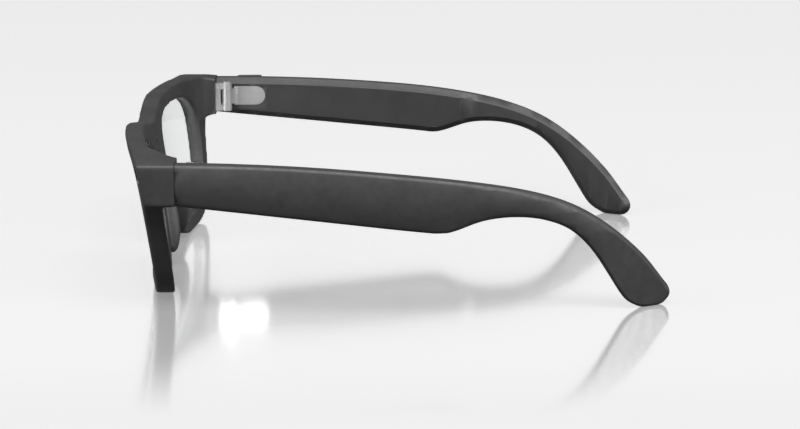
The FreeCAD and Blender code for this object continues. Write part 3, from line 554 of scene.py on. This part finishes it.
def noise(nodes, links, scale, stretch=(1, 1, 1), detail=3.0):
    """Noise in the piece's own millimetres, stretched along an axis if asked."""
    place = nodes.new("ShaderNodeTexCoord")
    mapping = nodes.new("ShaderNodeMapping")
    mapping.inputs["Scale"].default_value = stretch
    texture = nodes.new("ShaderNodeTexNoise")
    texture.inputs["Scale"].default_value = scale * 1000
    texture.inputs["Detail"].default_value = detail
    links.new(place.outputs["Object"], mapping.inputs["Vector"])
    links.new(mapping.outputs["Vector"], texture.inputs["Vector"])
    return texture.outputs["Fac"]


def vary(nodes, links, source, low, high, target):
    span = nodes.new("ShaderNodeMapRange")
    span.inputs["From Min"].default_value = 0.3
    span.inputs["From Max"].default_value = 0.7
    span.inputs["To Min"].default_value = low
    span.inputs["To Max"].default_value = high
    links.new(source, span.inputs["Value"])
    links.new(span.outputs["Result"], target)


def tint(nodes, links, source, dark, light, target):
    ramp = nodes.new("ShaderNodeValToRGB")
    ramp.color_ramp.elements[0].position = 0.3
    ramp.color_ramp.elements[0].color = (*dark, 1)
    ramp.color_ramp.elements[1].position = 0.7
    ramp.color_ramp.elements[1].color = (*light, 1)
    links.new(source, ramp.inputs["Fac"])
    links.new(ramp.outputs["Color"], target)


def bump(nodes, links, source, strength, distance, shader):
    relief = nodes.new("ShaderNodeBump")
    relief.inputs["Strength"].default_value = strength
    relief.inputs["Distance"].default_value = distance * MM
    links.new(source, relief.inputs["Height"])
    links.new(relief.outputs["Normal"], shader.inputs["Normal"])


def finish(name, dark, light, rough, grain=4.0, relief=0.02, strength=0.5, stretch=(1, 1, 1), **inputs):
    material, nodes, links, shader = new_material(name, dark, rough[0], **inputs)
    wide = noise(nodes, links, 0.12, detail=4.0)
    tint(nodes, links, wide, dark, light, shader.inputs["Base Color"])
    vary(nodes, links, noise(nodes, links, 0.5), rough[0], rough[1], shader.inputs["Roughness"])
    bump(nodes, links, noise(nodes, links, grain, stretch), strength, relief, shader)
    return material


def grey(value):
    return (value, value, value)


matte = finish("matte_black_plastic", grey(0.016), grey(0.022), (0.5, 0.62), grain=3.5, relief=0.012,
               Specular_IOR_Level=0.42)
cover = finish("cover_plastic", grey(0.015), grey(0.02), (0.48, 0.58), grain=3.0, relief=0.012,
               Specular_IOR_Level=0.42)
button = finish("button_plastic", grey(0.03), grey(0.04), (0.36, 0.46), grain=5.0, relief=0.008)
steel = finish("brushed_steel", grey(0.38), grey(0.46), (0.5, 0.6), grain=1.2, relief=0.006, strength=0.4,
               stretch=(1, 0.08, 1), Metallic=1.0)
dark_metal = finish("dark_ring_metal", grey(0.05), grey(0.07), (0.24, 0.34), grain=2.0, relief=0.004,
                    Metallic=1.0)
can = finish("tinned_shield", grey(0.55), grey(0.66), (0.28, 0.4), grain=1.5, relief=0.004, Metallic=1.0)
gold = finish("gold_contacts", (0.75, 0.5, 0.16), (0.85, 0.6, 0.22), (0.2, 0.3), relief=0.003, Metallic=1.0)
foil = finish("battery_foil", (0.45, 0.46, 0.48), (0.55, 0.56, 0.58), (0.25, 0.4), grain=0.6, relief=0.03)
board = finish("green_board", (0.01, 0.06, 0.03), (0.02, 0.09, 0.045), (0.35, 0.5), grain=1.0, relief=0.02)
ribbon = finish("amber_ribbon", (0.35, 0.13, 0.02), (0.45, 0.18, 0.03), (0.3, 0.42), grain=1.0, relief=0.008)
component = finish("black_component", grey(0.02), grey(0.03), (0.35, 0.5), grain=2.5, relief=0.01)
guide = finish("clear_light_guide", grey(0.85), grey(0.92), (0.05, 0.1), relief=0.002,
               Transmission_Weight=1.0, IOR=1.49)
pane = finish("dark_window", grey(0.02), grey(0.03), (0.02, 0.05), grain=0.5, relief=0.002,
              Transmission_Weight=0.35, Coat_Weight=1.0, Coat_Roughness=0.02)
print("finishes:", len(bpy.data.materials))

# %% [markdown]
# The lenses are clear and thin. Full transmission with a faint tint lets
# the floor show through, and a very light, wide noise in the roughness
# stands for the film that handling leaves.

# %% Lens material
lens, lens_nodes, lens_links, lens_shader = new_material(
    "clear_lens", (0.985, 0.99, 0.99), 0.0, Transmission_Weight=1.0, IOR=1.12, Specular_IOR_Level=0.5)
tint(lens_nodes, lens_links, noise(lens_nodes, lens_links, 0.05), (0.96, 0.97, 0.975), (0.985, 0.99, 0.99),
     lens_shader.inputs["Base Color"])
vary(lens_nodes, lens_links, noise(lens_nodes, lens_links, 0.2), 0.0, 0.02, lens_shader.inputs["Roughness"])

# %% Put the finishes on
for piece in (front, *arms.values()):
    piece.data.materials.clear()
    piece.data.materials.append(matte)
SLOT_FINISH = {"frame_plastic": matte, "temple_plastic": matte, "cover_plastic": cover,
               "button_plastic": button, "lens": lens, "window": pane, "hinge_metal": steel,
               "ring_metal": dark_metal, "can_metal": can, "battery_foil": foil, "gold": gold,
               "light_guide": guide, "flex": ribbon, "board": board, "component_black": component}
for name, node in nodes.items():
    for slot in node.material_slots:
        slot.material = SLOT_FINISH[slot.material.name.split(".")[0]]
print("pieces with a finish:", len(nodes) + 3)

# %% [markdown]
# The glasses stand on a wide pale floor that mirrors them. The mirror fades
# out towards the viewer, and there the floor's own glow makes up for it. One
# large lamp hangs over the viewer's side, so that the outer face is lighter
# at its top. A smaller one stands behind the arms, and one in front of the
# brow. The floor doesn't light the dark plastic from below.

# %% Floor
ROOM, MIRROR, GLOW = 0.2, 2.6, 0.225
FADE_START, FADE_END = 0.10, 0.16
bpy.ops.object.select_all(action="DESELECT")
bpy.ops.mesh.primitive_plane_add(size=12, location=(0, 0, -0.0001))
floor = bpy.context.object
floor.name = "floor"
floor_material, floor_nodes, floor_links, floor_shader = new_material("pale_floor", grey(0.06), 0.6)
floor_shader.inputs["Specular IOR Level"].default_value = 0.0
floor_shader.inputs["Emission Color"].default_value = (1, 1, 1, 1)
mirror = floor_nodes.new("ShaderNodeBsdfGlossy")
where = floor_nodes.new("ShaderNodeTexCoord")
split = floor_nodes.new("ShaderNodeSeparateXYZ")
floor_links.new(where.outputs["Object"], split.inputs[0])
for low, high, socket in ((GLOW, GLOW + 0.94 * MIRROR * ROOM, floor_shader.inputs["Emission Strength"]),
                          (MIRROR, 0.0, mirror.inputs["Color"])):
    fade = floor_nodes.new("ShaderNodeMapRange")
    fade.interpolation_type = "SMOOTHSTEP"
    fade.inputs["From Min"].default_value = FADE_START
    fade.inputs["From Max"].default_value = FADE_END
    fade.inputs["To Min"].default_value = low
    fade.inputs["To Max"].default_value = high
    floor_links.new(split.outputs["X"], fade.inputs["Value"])
    floor_links.new(fade.outputs["Result"], socket)
vary(floor_nodes, floor_links, noise(floor_nodes, floor_links, 0.002), 0.1, 0.13, mirror.inputs["Roughness"])
both = floor_nodes.new("ShaderNodeAddShader")
floor_links.new(floor_shader.outputs["BSDF"], both.inputs[0])
floor_links.new(mirror.outputs["BSDF"], both.inputs[1])
floor_links.new(both.outputs["Shader"], floor_nodes["Material Output"].inputs["Surface"])
floor.data.materials.append(floor_material)
floor.visible_diffuse = False
floor.visible_glossy = False
floor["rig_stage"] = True

# %% Lights
world = bpy.data.worlds.new("soft_room")
bpy.context.scene.world = world
world.use_nodes = True
world.node_tree.nodes["Background"].inputs["Color"].default_value = (1, 1, 1, 1)
world.node_tree.nodes["Background"].inputs["Strength"].default_value = ROOM


def lamp(name, place, target, size, power):
    bpy.ops.object.light_add(type="AREA", location=place)
    light = bpy.context.object
    light.name = name
    light.data.shape = "RECTANGLE"
    light.data.size, light.data.size_y = size
    light.data.energy = power
    light.rotation_euler = (Vector(place) - Vector(target)).to_track_quat("Z", "Y").to_euler()


lamp("side_softbox", (0.75, 0.12, 1.35), (0.07, 0.02, 0.03), (1.4, 0.6), 46.0)
lamp("rear_softbox", (0.55, 0.95, 0.55), (0.05, 0.06, 0.02), (0.5, 0.5), 12.0)
lamp("front_softbox", (0.5, -1.1, 0.6), (0, -0.06, 0.03), (0.6, 0.6), 16.0)

# %% Camera
bpy.ops.object.camera_add(location=(0.65323, SEAM + 0.06472, 0.17567),
                          rotation=(math.radians(90 - 13.921), 0, math.pi / 2))
camera = bpy.context.object
camera.data.lens = 93.67
camera.data.sensor_width = 36.0
camera.data.clip_start = 0.01
bpy.context.scene.camera = camera
bpy.context.scene.view_settings.view_transform = "Standard"
print("camera looks at the left arm from", round(camera.location.x, 2), "m")

# %% Measure and finish
low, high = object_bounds()
